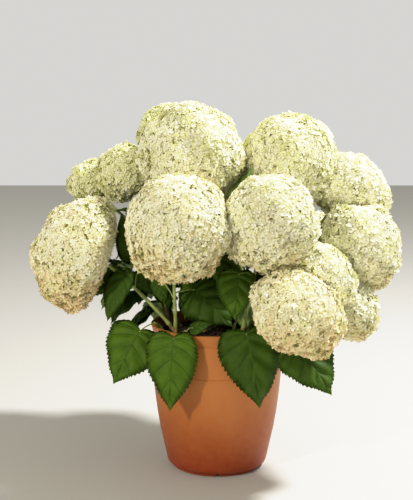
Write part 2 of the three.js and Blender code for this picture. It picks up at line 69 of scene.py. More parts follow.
# The heads. at is the middle of the widest ring, half its radius, top and under the heights of the dome
# and of the underside as shares of half, lean the tilt from upright, bearing its compass direction from
# +X, in degrees. age runs from 0, lime and new, to 1, buff and fading; low_right's is partly painted shade.
headKeys = ("at", "half", "top", "under", "lean", "bearing", "seed", "age")
headRows = {
    "crown_left": ((-60, 10, 738), 121, 1, 0.88, 15, 170, 11, 0.4),
    "crown_rear": ((-108, 150, 766), 86, 1, 0.85, 25, 128, 12, 0.12),
    "crown_right": ((172, 60, 716), 117, 0.98, 0.9, 25, 19, 82, 0.36),
    "front_left": ((-87, -200, 595), 117, 1.04, 1, 27, -78, 14, 0.58),
    "front_right": ((113, -175, 603), 106, 1.05, 1, 28, -60, 79, 0.46),
    "between": ((35, -50, 572), 58, 1.12, 1, 30, -80, 16, 0.4),
    "left": ((-301, -60, 512), 136, 0.89, 0.37, 71, 182, 45, 0.7),
    "upper_left": ((-213, 85, 688), 74, 0.95, 0.85, 35, 160, 18, 0.16),
    "far_left": ((-305, 150, 658), 57, 1, 0.9, 45, 155, 19, 0.1),
    "upper_right": ((314, 70, 645), 104, 0.85, 0.78, 45, 12, 90, 0.46),
    "right": ((328, -30, 528), 104, 0.94, 0.8, 65, -5, 35, 0.42),
    "right_front": ((231, -145, 480), 84, 0.78, 0.7, 45, -33, 22, 0.42),
    # low_right's age 0.76 is partly its own buff colour and partly painted shade from the heads above it.
    "low_right": ((170, -230, 415), 109, 0.8, 0.63, 42, -40, 183, 0.76),
    "low_far_right": ((303, -95, 394), 72, 0.9, 0.75, 70, -17, 24, 0.5),
    "rear_top": ((30, 185, 655), 92, 0.95, 0.8, 25, 80, 25, 0.36),
    "rear_left": ((-110, 290, 555), 106, 0.95, 0.8, 45, 110, 26, 0.44),
    "rear_right": ((115, 290, 575), 108, 0.95, 0.8, 45, 68, 27, 0.3),
    "rear_low_left": ((-335, 170, 510), 92, 0.9, 0.7, 65, 152, 28, 0.55),
    "rear_low_right": ((265, 225, 475), 98, 0.9, 0.7, 60, 40, 29, 0.5),
}
blooms = {name: dict(zip(headKeys, row)) for name, row in headRows.items()}

# The shoots. Each rises from foot for rise, leaning out by the share lean of its way to the head, and runs
# straight into the head for run. leafFrom is the share of its length where its pairs of leaves start, and
# turn the way of the first pair, in degrees.
shootKeys = ("foot", "rise", "lean", "run", "leafFrom", "pairs", "turn", "seed")
shootRows = {
    "front_left": ((-95, -92), 70, 0, 50, 0.42, 0, 0, 31),
    "left": ((-88, -70), 48, 0.12, 17, 0.4, 2, 60, 32),
    "low_right": ((81, -75), 95, 0.04, 30, 0.24, 2, 20, 33),
    "front_right": ((53, -98), 59, 0.23, 43, 0.34, 3, 100, 34),
    "crown_left": ((-28, 4), 132, 0.39, 17, 0.26, 3, 45, 35),
    "crown_right": ((104, 39), 65, 0.39, 39, 0.3, 3, 80, 36),
    "upper_left": ((-108, 30), 64, 0.3, 44, 0.28, 4, 10, 37),
    "upper_right": ((107, 9), 140, 0.42, 53, 0.3, 4, 120, 38),
    "right": ((109, -25), 42, 0.03, 102, 0.3, 3, 70, 39),
    "rear_top": ((28, 107), 59, 0.09, 19, 0.3, 3, 0, 40),
    "rear_left": ((-50, 98), 77, 0.17, 90, 0.3, 4, 30, 41),
    "rear_right": ((61, 91), 140, 0.42, 38, 0.3, 4, 75, 42),
    "rear_low_left": ((-86, 58), 80, 0.25, 100, 0.3, 4, 50, 43),
    "rear_low_right": ((83, 64), 89, 0.26, 90, 0.3, 4, 95, 44),
}
shoots = [dict(zip(shootKeys, row), name=name) for name, row in shootRows.items()]

# The shoots that fork: the head that the side stem carries, the share of the shoot's length where it
# leaves, and its rise and run.
forkKeys = ("bloom", "at", "rise", "run")
forkRows = {
    "low_right": ("right_front", 0.4, 19, 80),
    "front_right": ("between", 0.6, 22, 19),
    "crown_left": ("crown_rear", 0.43, 17, 98),
    "upper_left": ("far_left", 0.66, 19, 91),
    "right": ("low_far_right", 0.62, 25, 14),
}

# Short leafy shoots with no head, whose leaves hang over the rim. top is where the stem ends, out the way
# that its two seeded leaves part from, and spread how far each turns from it, in degrees.
skirtKeys = ("foot", "top", "out", "spread", "seed")
skirtRows = {
    "front": ((-66, -116), (-74, -127, 352)),
    "front_side": ((-124, -44), (-146, -72, 358)),
    "middle": ((34, -86), (50, -82, 374)),
    "right_side": ((42, -128), (48, -136, 356)),
    "far_right": ((118, -48), (140, -98, 360)),
    "rear_one": ((122, 40), (144, 58, 356), 25, 50, 51),
    "rear_two": ((2, 128), (4, 148, 356), 88, 45, 52),
    "rear_three": ((-114, 60), (-132, 76, 358), 150, 50, 53),
}
skirts = [dict(zip(skirtKeys, row), name=name) for name, row in skirtRows.items()]

# Leaves placed one by one: the shoot, the share of its stem where the petiole starts, the blade's base and
# tip, its width, its sag as a share of its length, the way that it faces, or None for outwards, and the
# number of its green. The deep green, 1, that most of them get is partly painted shade, for the shade of
# the heads that they hang under.
handLeaves = [
    ("front_left", 0.6, (-54, -72, 440), (34, -114, 358), 124, 0.08, (0.1, -1, 0.5), 1),
    ("front_left", 0.5, (-135, -60, 457), (-121, -72, 400), 42, 0.08, (0.1, -1, 0.2), 1),
    ("left", 0.7, (-212, -92, 478), (-250, -120, 372), 66, 0.08, (-0.6, -1, 0.1), 1),
    ("left", 0.66, (-197, -22, 500), (-224, -8, 606), 56, 0.12, (-0.2, -1, 0.3), 1),
    ("left", 0.62, (-186, -44, 474), (-130, -36, 414), 62, 0.1, (0.1, -1, 0.5), 1),
    ("front_right", 0.7, (46, -136, 488), (38, -150, 382), 88, 0.06, (0.05, -1, 0.1), 0),
    ("crown_right", 0.82, (34, -2, 640), (82, -42, 716), 46, 0.1, None, 1),
    ("front", 0.92, (-99, -164, 346), (-107, -182, 180), 112, 0.07, (-0.15, -1, 0), 0),
    ("front", 0.8, (-60, -141, 361), (-12, -158, 376), 34, 0.06, None, 1),
    ("front_side", 0.92, (-176, -108, 350), (-236, -142, 232), 126, 0.07, (-0.3, -1, 0.1), 0),
    ("middle", 0.9, (62, -76, 400), (70, -30, 478), 66, 0.1, None, 1),
    ("right_side", 0.92, (64, -166, 358), (94, -184, 188), 130, 0.07, (0.2, -1, 0), 1),
    ("far_right", 0.95, (176, -176, 330), (252, -212, 226), 122, 0.07, (0.4, -1, 0.3), 1),
]

# The numbers of the seeded leaves that are left out, where bare stems show
leftOut = {"left": [1]}

# The pot's sizes
pot = {"height": 345, "rim": 156, "rimWall": 8, "wall": 4.6, "floor": 7, "foot": 107, "shoulder": 319,
       "groove": 243, "drainRing": 62, "drains": 5, "drainRadius": 6, "channel": (9, 4), "turns": 144}

# The plant's own rule: how heads press together, how stems curve and how leaves are drawn.
rule = {
    "soilTop": 320, "gap": 0.3, "caneRadius": 4.4, "caneTipRadius": 3.3, "caneFlare": 1.35,
    "forkPull": 0.6, "skirtRadius": 2.9, "skirtPull": 0.7, "stalkLength": 24, "stalkEnd": 0.8,
    "pressGap": 0.6, "pressRange": 1.25, "pressShares": (0.3, 0.7), "lumpHeight": 0.045,
    "leafLength": 122, "leafSlimness": 0.72, "leafSizes": (0.8, 1.2), "leafSags": (0.06, 0.12),
    "leafReaches": (34, 50), "leafRises": (10, 18), "leafTilt": 0.8, "twistSpread": 0.5,
    "turnSpread": 0.5, "dipSpread": 24, "topDip": 8, "dipStep": 6, "skirtDip": 38, "skirtShare": 0.94,
    "handFold": -0.12, "ruleFold": -0.14, "handArch": 3, "ruleArch": 5, "petioleSeat": 5,
    "tries": ((1, 0), (0.9, 30), (0.85, -30), (0.7, 50), (0.65, 0)),
}


def seededRun(seed):
    state = seed
    while True:
        state = (state * 1664525 + 1013904223) % 4294967296
        yield state / 4294967296


def drawn(span, run):
    share = next(run)
    return span[0] * (1 - share) + span[1] * share


def unit(v):
    return v / np.linalg.norm(v)


def compass(bearing, lean):
    b, l = math.radians(bearing), math.radians(lean)
    return np.array([math.cos(b) * math.sin(l), math.sin(b) * math.sin(l), math.cos(l)])


# Heads: their smooth outline, the planes where they press together and the lumpy outline
for bloom in blooms.values():
    bloom["middle"] = np.array(bloom["at"], float)
    bloom["axis"] = compass(bloom["bearing"], bloom["lean"])
    run = seededRun(bloom["seed"])
    bloom["phases"] = [next(run) * 2 * math.pi for _ in range(4)]
    bloom["planes"] = []


def smoothReach(bloom, ways):
    along = ways @ bloom["axis"]
    height = np.where(along > 0, bloom["top"], bloom["under"])
    return bloom["half"] / np.sqrt(1 - along**2 + (along / height) ** 2)


def pressTogether(a, b):
    between = b["middle"] - a["middle"]
    distance = np.linalg.norm(between)
    if distance > rule["pressRange"] * (a["half"] + b["half"]):
        return
    between /= distance
    reachA, reachB = smoothReach(a, between), smoothReach(b, -between)
    even = (distance**2 + reachA**2 - reachB**2) / (2 * distance)
    least, most = rule["pressShares"]
    meeting = min(max(even, least * distance), most * distance)
    a["planes"].append((between, meeting))
    b["planes"].append((-between, distance - meeting))


bloomList = list(blooms.values())
for i, first in enumerate(bloomList):
    for second in bloomList[i + 1:]:
        pressTogether(first, second)


def openReach(bloom, ways):
    p, q, r, s = bloom["phases"]
    x, y, z = ways.T
    lumps = np.sin(6 * x + p) * np.cos(5 * y + q) + np.sin(7 * z + r) * np.cos(6 * x + s)
    return smoothReach(bloom, ways) * (1 + rule["lumpHeight"] * lumps)


def pressedReach(bloom, ways):
    reach = openReach(bloom, ways)
    for normal, distance in bloom["planes"]:
        toward = ways @ normal
        flat = (distance - rule["pressGap"]) / np.maximum(toward, 1e-6)
        reach = np.where(toward > 0, np.minimum(reach, flat), reach)
    return reach


# Stems: smooth curves pulled by their inner points, and measured out by length
class Curve:
    def __init__(self, *points):
        self.points = [np.array(p, float) for p in points]
        t = np.linspace(0, 1, 201)
        self.table = np.array([self.spot(v) for v in t])
        steps = np.linalg.norm(np.diff(self.table, axis=0), axis=1)
        self.lengths = np.concatenate([[0], np.cumsum(steps)])
        self.length = self.lengths[-1]

    def spot(self, t):
        rows = self.points
        while len(rows) > 1:
            rows = [a + (b - a) * t for a, b in zip(rows, rows[1:])]
        return rows[0]

    def param(self, share):
        return np.interp(share * self.length, self.lengths, np.linspace(0, 1, 201))

    def at(self, share):
        return self.spot(self.param(share))

    def ahead(self, share):
        t = self.param(share)
        step = 1e-4
        return unit(self.spot(min(t + step, 1)) - self.spot(max(t - step, 0)))


def wayTo(bloom, start, firstPull, run):
    end = bloom["middle"] - bloom["axis"] * rule["stalkEnd"] * bloom["half"] * bloom["under"]
    return Curve(start, firstPull(end), end - bloom["axis"] * run, end)


def shootCurve(shoot):
    start = np.array([*shoot["foot"], rule["soilTop"] + rule["gap"]])

    def pull(end):
        leaning = start + (end - start) * shoot["lean"]
        return np.array([leaning[0], leaning[1], start[2] + shoot["rise"]])

    return wayTo(blooms[shoot["name"]], start, pull, shoot["run"])


def forkCurve(fork, stem):
    start, ahead = stem.at(fork["at"]), stem.ahead(fork["at"])

    def pull(end):
        return start + (ahead + unit(end - start)) * rule["forkPull"] * fork["rise"]

    return wayTo(blooms[fork["bloom"]], start, pull, fork["run"])


def stalkStart(curve, bloom):
    sunk = (1 - rule["stalkEnd"]) * bloom["half"] * bloom["under"]
    return 1 - (sunk + rule["stalkLength"]) / curve.length


for shoot in shoots:
    shoot["curve"] = shootCurve(shoot)
    shoot["stalk"] = stalkStart(shoot["curve"], blooms[shoot["name"]])
    if shoot["name"] in forkRows:
        shoot["fork"] = dict(zip(forkKeys, forkRows[shoot["name"]]))
        shoot["branch"] = forkCurve(shoot["fork"], shoot["curve"])
for skirt in skirts:
    foot = np.array([*skirt["foot"], rule["soilTop"] + rule["gap"]])
    top = np.array(skirt["top"], float)
    pull = np.array([foot[0], foot[1], foot[2] + (top[2] - foot[2]) * rule["skirtPull"]])
    skirt["curve"] = Curve(foot, pull, top)


# Leaves: the same seeded draws as the solids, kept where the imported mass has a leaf
def bladeFrame(leaf):
    along = unit(leaf["tip"] - leaf["base"])
    face = unit(leaf["face"] - along * (leaf["face"] @ along))
    return along, np.cross(along, face), face


def bladeSpot(leaf, share, out):
    along, side, face = leaf["frame"]
    share, out = np.asarray(share)[..., None], np.asarray(out)[..., None]
    lift = leaf["sag"] * leaf["length"] * 4 * share * (1 - share)
    lift = lift + np.abs(out) * leaf["fold"] * leaf["width"] / 2
    return leaf["base"] + along * share * leaf["length"] + side * out * leaf["width"] / 2 + face * lift


def finishLeaf(leaf):
    leaf["frame"] = bladeFrame(leaf)
    leaf["length"] = np.linalg.norm(leaf["tip"] - leaf["base"])
    return leaf


def handLeaf(plant, at, base, tip, width, sag, hang, green):
    base = np.array(base, float)
    outward = unit(base * (1, 1, 0)) + up * rule["leafTilt"]
    return finishLeaf(dict(
        base=base, tip=np.array(tip, float), root=plant["curve"].at(at),
        face=outward if hang is None else np.array(hang, float),
        width=width, sag=sag, fold=rule["handFold"], arch=rule["handArch"], green=green))


def turnedAbout(vector, axis, angle):
    return np.array(Matrix.Rotation(angle, 3, Vector(axis)) @ Vector(vector))


def leafWays(plant, share, turn, run, leastDip, lengths=rule["leafSizes"]):
    heading = np.array([math.cos(turn), math.sin(turn), 0])
    root = plant["curve"].at(share)
    length = rule["leafLength"] * drawn(lengths, run)
    reach = drawn(rule["leafReaches"], run)
    dip = leastDip + rule["dipSpread"] * next(run)
    rise = drawn(rule["leafRises"], run)
    twist = (next(run) - 0.5) * rule["twistSpread"]
    sag = drawn(rule["leafSags"], run)
    ways = []
    for size, moreDip in rule["tries"]:
        angle = math.radians(dip + moreDip)
        along = heading * math.cos(angle) - up * math.sin(angle)
        base = root + heading * reach * size + up * rise
        ways.append(finishLeaf(dict(
            base=base, tip=base + along * length * size, root=root,
            face=turnedAbout(up + heading * rule["leafTilt"], along, twist),
            width=length * size * rule["leafSlimness"], sag=sag,
            fold=rule["ruleFold"], arch=rule["ruleArch"])))
    return ways


def shareAlong(plant, part, parts):
    return plant["leafFrom"] + (plant["stalk"] - plant["leafFrom"]) * part / parts


def turnedBy(plant, degrees, run):
    return math.radians(plant["turn"] + degrees) + (next(run) - 0.5) * rule["turnSpread"]


def leafDraws(plant):
    run = seededRun(plant.get("seed", 0))
    pairs = plant.get("pairs", 0)
    for i in range(pairs):
        for half in (0, 1):
            turn = turnedBy(plant, 90 * i + 180 * half, run)
            dip = rule["topDip"] + rule["dipStep"] * (pairs - i)
            yield leafWays(plant, shareAlong(plant, i + 0.5, pairs), turn, run, dip)
    if "spread" in plant:
        for side in (-1, 1):
            turn = math.radians(plant["out"] + side * plant["spread"])
            yield leafWays(plant, rule["skirtShare"], turn, run, rule["skirtDip"])


def cornersOf(node):
    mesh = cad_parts[node].data
    corners = np.empty(len(mesh.vertices) * 3, np.float32)
    mesh.vertices.foreach_get("co", corners)
    tree = KDTree(len(mesh.vertices))
    for i, corner in enumerate(corners.reshape(-1, 3) * metre):
        tree.insert(corner, i)
    tree.balance()
    return tree


def isThere(leaf, tree, near=0.3):
    marks = bladeSpot(leaf, [1, 0.32, 0.32], [0, 1, -1])
    return sum(tree.find(mark)[2] < near for mark in marks) >= 2


leaves = []
for plant in skirts + shoots:
    node = "leaves_" + ("" if "pairs" in plant else "low_") + plant["name"]
    tree = cornersOf(node)
    placed = [handLeaf(plant, *row) for name, *row in handLeaves if name == plant["name"]]
    kept = [leaf for leaf in placed if isThere(leaf, tree)]
    for i, ways in enumerate(leafDraws(plant)):
        if i not in leftOut.get(plant["name"], []):
            kept += [way for way in ways if isThere(way, tree)][:1]
    leaves += [leaf | {"rim": "pairs" not in plant} for leaf in kept]
print("leaves in the solids:", len(leaves))

# Smaller leaves by the same rule, where there is still room between the heads and the other leaves, at
# the back and the sides. Distances are in millimetres, and dips and spareTurns, the ways of those over the
# rim, in degrees.
spare = {"lengths": (0.5, 0.85), "rimLengths": (0.7, 1), "rimShares": (0.6, 0.95), "apart": 9, "headRoom": 4,
         "rimRoom": 4, "lowest": 170, "front": (-50, 560), "marks": (9, 7), "dips": (8, 34), "seedStep": 200}
spareTurns = {"rear_one": (-50, -15, 20, 60), "rear_two": (40, 75, 105, 140),
              "rear_three": (105, 140, 175, 210), "far_right": (-10, 20), "front_side": (165, 195)}
leafWidthAt = ((0, 0.1, 0.25, 0.45, 0.65, 0.85, 1), (0.7, 0.97, 1, 0.88, 0.6, 0.25, 0))


def marksOn(leaf):
    rows, across = spare["marks"]
    share, out = np.meshgrid(np.linspace(0.02, 0.98, rows), np.linspace(-1, 1, across))
    return bladeSpot(leaf, share, out * np.interp(share, *leafWidthAt)).reshape(-1, 3)


def hasRoom(marks, taken):
    x, y, z = marks.T
    low, high = (np.array(corner) * metre for corner in cadBox)
    outside = (marks < low).any() or (marks > high).any() or (z < spare["lowest"]).any()
    overPot = (np.hypot(x, y) < pot["rim"] + spare["rimRoom"]) & (z < pot["height"] + spare["rimRoom"])
    inFront = (y < spare["front"][0]) & (z < spare["front"][1])
    if outside or overPot.any() or inFront.any():
        return False
    for bloom in bloomList:
        away = marks - bloom["middle"]
        distance = np.linalg.norm(away, axis=1)
        if (distance < openReach(bloom, away / distance[:, None]) + spare["headRoom"]).any():
            return False
    return np.min(np.linalg.norm(taken[:, None] - marks[None], axis=2)) > spare["apart"]


def spareWays(plant):
    run = seededRun(plant.get("seed", 7) + spare["seedStep"])
    least, most = spare["dips"]
    places = 2 * plant.get("pairs", 0)
    for i in range(places):
        for quarter in range(4):
            turn = turnedBy(plant, 45 * i + 90 * quarter, run)
            dip = least + (most - least) * next(run)
            yield leafWays(plant, shareAlong(plant, i + 0.3, places), turn, run, dip, spare["lengths"])
    for turn in spareTurns.get(plant["name"], ()):
        for share in spare["rimShares"]:
            yield leafWays(plant, share, math.radians(turn), run, rule["skirtDip"], spare["rimLengths"])


taken = np.concatenate([marksOn(leaf) for leaf in leaves])
for plant in skirts + shoots:
    for ways in spareWays(plant):
        for way in ways:
            marks = marksOn(way)
            if hasRoom(marks, taken):
                leaves.append(way | {"rim": "pairs" not in plant})
                taken = np.concatenate([taken, marks])
                break
print("leaves in all:", len(leaves))


# Materials
def linear(hexColour):
    parts = [int(hexColour[i:i + 2], 16) / 255 for i in (1, 3, 5)]
    return [c / 12.92 if c <= 0.04045 else ((c + 0.055) / 1.055) ** 2.4 for c in parts] + [1]


def addNode(tree, kind, settings=None, links=None):
    node = tree.nodes.new(kind)
    for key, value in (settings or {}).items():
        if hasattr(node, key):
            setattr(node, key, value)
        else:
            node.inputs[key].default_value = value
    for key, source in (links or {}).items():
        tree.links.new(source, node.inputs[key])
    return node


def startMaterial(name, settings):
    made = bpy.data.materials.new(name)
    made.use_nodes = True
    tree = made.node_tree
    shader = tree.nodes["Principled BSDF"]
    for key, value in settings.items():
        shader.inputs[key].default_value = value
    where = addNode(tree, "ShaderNodeTexCoord").outputs["Object"]
    return made, tree, shader, where


def perMm(size):
    return metre / size


def mottled(name, pale, deep, patchMm, bumpMm, bumpDepth, settings):
    made, tree, shader, where = startMaterial(name, settings)
    patch = addNode(tree, "ShaderNodeTexNoise", {"Scale": perMm(patchMm), "Detail": 3}, {"Vector": where})
    ramp = addNode(tree, "ShaderNodeValToRGB", {}, {"Fac": patch.outputs["Fac"]})
    ramp.color_ramp.elements[0].position = 0.35
    ramp.color_ramp.elements[1].position = 0.65
    ramp.color_ramp.elements[0].color = linear(deep)
    ramp.color_ramp.elements[1].color = linear(pale)
    tree.links.new(ramp.outputs["Color"], shader.inputs["Base Color"])
    grain = addNode(tree, "ShaderNodeTexNoise", {"Scale": perMm(bumpMm), "Detail": 2}, {"Vector": where})
    bump = addNode(tree, "ShaderNodeBump", {"Strength": 0.6, "Distance": bumpDepth / metre},
                   {"Height": grain.outputs["Fac"]})
    tree.links.new(bump.outputs["Normal"], shader.inputs["Normal"])
    return made


# Sepals are thin and waxy: soft light comes through them, with faint veins and no gloss.
sepalFinish = {"Roughness": 0.7, "Subsurface Weight": 0.35, "Subsurface Radius": (0.006, 0.006, 0.005),
               "Subsurface Scale": 1.0, "Specular IOR Level": 0.12}
sepalTints = {
    "sepalLime": ("#eff0b8", "#e6e8a4"),
    "sepalGreenWhite": ("#f4f4c8", "#ededb6"),
    "sepalWhite": ("#fbf9de", "#f5f2cc"),
    "sepalCream": ("#f9f4d2", "#f2e9bc"),
    "sepalBuff": ("#f3e6bc", "#e9d8a4"),
    "sepalPeach": ("#f1dcb0", "#e6cc9a"),
}
sepals = [mottled(name, pale, deep, 9, 1.6, 0.25, sepalFinish) for name, (pale, deep) in sepalTints.items()]

# Buds, the stems inside a head and its branches: matt, soft young growth, paler than the leaves
budGreen = mottled("budGreen", "#dfe08c", "#c3c564", 5, 1.2, 0.2, {"Roughness": 0.6})
headHeart = mottled("headHeart", "#c6c684", "#a3a860", 14, 3, 0.6, {"Roughness": 0.8})
pedicelGreen = mottled("pedicelGreen", "#cfd394", "#a9b268", 12, 2, 0.2, {"Roughness": 0.55})

# Leaf skin: a cuticle with a soft sheen over puckered green, sunken veins coloured darker, partly as painted
# shade of their grooves, and a matt pale underside.
leafFinish = {"Roughness": 0.6, "Specular IOR Level": 0.14}


def leafSkin(name, pale, deep):
    # The net of small veins between the side veins puckers the skin into cells about 6 mm wide.
    made = mottled(name, pale, deep, 30, 2.2, 0.2, leafFinish)
    tree = made.node_tree
    shader = tree.nodes["Principled BSDF"]
    where = next(node for node in tree.nodes if node.bl_idname == "ShaderNodeTexCoord").outputs["Object"]
    cells = addNode(tree, "ShaderNodeTexVoronoi", {"feature": "DISTANCE_TO_EDGE", "Scale": perMm(6)},
                    {"Vector": where})
    grain = shader.inputs["Normal"].links[0].from_socket
    pucker = addNode(tree, "ShaderNodeBump", {"Strength": 0.6, "Distance": 0.9 / metre},
                     {"Height": cells.outputs["Distance"], "Normal": grain})
    tree.links.new(pucker.outputs["Normal"], shader.inputs["Normal"])
    return made


leafGreens = [
    leafSkin("leafGreen", "#4b6a16", "#3f5b10"),
    # The deep green: a darker leaf colour drawn at random for some leaves, and partly painted shade on most
    # of the leaves listed one by one.
    leafSkin("leafDeepGreenAndShade", "#3a5511", "#30480d"),
    leafSkin("leafFreshGreen", "#688423", "#58761a"),
]
# Veins: a darker green, partly their own colour and partly painted shade in their sunken grooves.
leafVeinShade = mottled("leafVeinShade", "#3d5914", "#334c10", 20, 2, 0.15, leafFinish)
leafUnderside = mottled("leafUnderside", "#84a05a", "#6c8a48", 22, 1.8, 0.3, {"Roughness": 0.72})

# Cane skin: green and smooth when young, brown and finely rough where it turns woody at the foot.
youngCane = mottled("youngCane", "#a6b368", "#82954a", 16, 1.4, 0.2, {"Roughness": 0.5})
woodyCane = mottled("woodyCane", "#9a8a58", "#6f6238", 10, 1.2, 0.5, {"Roughness": 0.75})


# Meshes from arrays
def selectOnly(piece):
    bpy.ops.object.select_all(action="DESELECT")
    piece.select_set(True)
    bpy.context.view_layer.objects.active = piece


class Pile:
    def __init__(self):
        self.points, self.faces, self.slots, self.count = [], [], [], 0

    def add(self, points, faces, slots):
        self.points.append(points)
        self.faces.append(faces + self.count)
        self.slots.append(np.broadcast_to(slots, len(faces)))
        self.count += len(points)

    def piece(self, name, materials):
        faces = np.concatenate(self.faces).astype(np.int32)
        mesh = bpy.data.meshes.new(name)
        mesh.vertices.add(self.count)
        mesh.vertices.foreach_set("co", (np.concatenate(self.points) / metre).astype(np.float32).ravel())
        mesh.loops.add(faces.size)
        mesh.loops.foreach_set("vertex_index", faces.ravel())
        mesh.polygons.add(len(faces))
        mesh.polygons.foreach_set("loop_start", np.arange(0, faces.size, 3, dtype=np.int32))
        mesh.polygons.foreach_set("material_index", np.concatenate(self.slots).astype(np.int32))
        mesh.polygons.foreach_set("use_smooth", np.full(len(faces), True))
        for material in materials:
            mesh.materials.append(material)
        mesh.update(calc_edges=True)
        mesh.validate()
        piece = bpy.data.objects.new(name, mesh)
        bpy.context.scene.collection.objects.link(piece)
        return piece


def placePiece(piece, slot, *nodes):
    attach(piece, "root")
    if nodes:
        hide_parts(*nodes)


def ringFaces(rings, sides):
    # Triangles between rings of points, and fans that shut both ends, whose middles are the last two points
    i, j = np.meshgrid(np.arange(rings - 1), np.arange(sides), indexing="ij")
    a, b = i * sides + j, i * sides + (j + 1) % sides
    around = np.stack([a, b, b + sides, a, b + sides, a + sides], -1).reshape(-1, 3)
    j = np.arange(sides)
    k = (j + 1) % sides
    start, last = np.full(sides, rings * sides), (rings - 1) * sides
    fans = [np.stack([start, k, j], -1), np.stack([start + 1, last + j, last + k], -1)]
    return np.concatenate([around] + fans)


# Florets. Distances are in millimetres: boss is the depth between the rounded clusters that a head is made
# of, jitter that from floret to floret, and proud how far one may stand out. Low down a head is looser:
# florets face more ways there, and looseBoss deepens the gaps between clusters. Holes are small gaps in
# groups, more of them low down, where the inside of the head shows.
floret = {"cup": 0.2, "lift": 0.15, "wander": 0.26, "leastSize": 0.84, "sizeSpread": 0.32, "opening": 0.5,
          "tilt": (0.3, 0.5), "topRoom": 1.2, "clusterMm": 30, "boss": 3.6, "looseBoss": 0.9,
          "clusterStep": 1.8, "jitter": (1.1, 2.3), "proud": (0.8, 3.2), "hiddenBelow": -0.82,
          "pressedDepth": 20, "holeGroups": 9, "holesInGroup": 6, "groupMm": 10, "holeSizes": (2.2, 4.4)}


def sepalRing(rows, bud):
    # Four sepals. Each is a base point, three corners cupped from side to side, and a blunt end of two.
    points, faces, slots = [], [], []
    for k in range(4):
        cos, sin = math.cos(k * math.pi / 2), math.sin(k * math.pi / 2)
        lift = floret["lift"] * (k % 2)
        sepal = [(0.05, 0, 0)]
        for row, (x, bow, half, z, cup) in enumerate(rows):
            sepal += [(x - bow * abs(c), half * c, z + cup * c * c) for c in ((-1, 0, 1), (-1, 1))[row]]
        start = len(points)
        points += [(x * cos - y * sin, x * sin + y * cos, z + lift) for x, y, z in sepal]
        triangles = [(0, 1, 2), (0, 2, 3)] + [(1, 4, 2), (4, 5, 2), (2, 5, 3)] * (len(rows) - 1)
        faces += [tuple(start + v for v in triangle) for triangle in triangles]
        slots += [0] * len(triangles)
    if bud:
        start = len(points)
        points += [(0.15, 0, 0.08), (0, 0.15, 0.08), (-0.15, 0, 0.08), (0, -0.15, 0.08), (0, 0, 0.26)]
        faces += [(start + v, start + (v + 1) % 4, start + 4) for v in range(4)]
        slots += [1] * 4
    return np.array(points, float), np.array(faces), np.array(slots)


def evenWays(count):
    i = np.arange(count) + 0.5
    z = 1 - 2 * i / count
    turn = math.pi * (1 + 5**0.5) * i
    flat = np.sqrt(1 - z * z)
    return np.stack([flat * np.cos(turn), flat * np.sin(turn), z], axis=1)


def unitRows(rows):
    return rows / np.linalg.norm(rows, axis=1)[:, None]


def frameOf(axis):
    side = unit(np.cross(axis, up + 0.01))
    return np.stack([side, np.cross(axis, side), axis])


def bossDepth(ways, half, dice):
    # How far each floret sinks between the rounded clusters of a head.
    across = floret["clusterMm"] / half
    middles = evenWays(int(4 * math.pi / (across * across * 0.8)))
    middles = unitRows(middles + dice.normal(0, across * 0.3, middles.shape))
    nearness = ways @ middles.T
    away = np.arccos(np.clip(nearness.max(axis=1), -1, 1)) / across
    step = dice.random(len(middles))[nearness.argmax(axis=1)]
    return floret["boss"] * np.clip(away, 0, 1.1) ** 2 + floret["clusterStep"] * step


def inHoles(ways, holes, half, share):
    middles, sizes = holes
    away = np.arccos(np.clip(ways @ middles.T, -1, 1)) * half
    return (away < sizes * share).any(axis=1)


